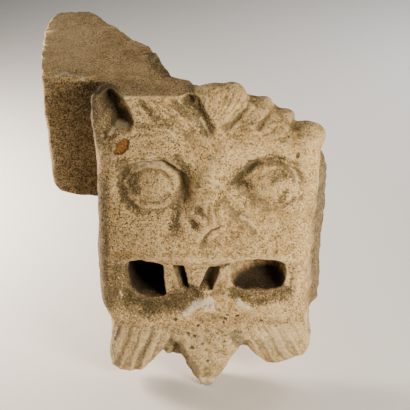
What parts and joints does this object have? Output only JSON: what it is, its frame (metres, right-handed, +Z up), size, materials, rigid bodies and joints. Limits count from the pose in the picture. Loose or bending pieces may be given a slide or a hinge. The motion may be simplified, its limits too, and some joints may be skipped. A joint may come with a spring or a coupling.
{
  "type": "carved head corbel",
  "caption": "Limestone corbel carved as a beast's mask with open mouth and tufted beard, with a rough tail that is built into the wall.",
  "frame": {"origin": "middle of the flat built-in end of the tail, at mid height of the tail", "axes": "+Z up along the height of the mask, +Y back into the wall, the mask looks along -Y, +X to the right of a viewer who faces the mask"},
  "size_m": [0.259, 0.2411, 0.2965],
  "materials": {
    "limestone": "matt, weathered, pitted"
  },
  "bodies": {
    "root": {"head_corbel": "limestone"}
  },
  "joints": []
}
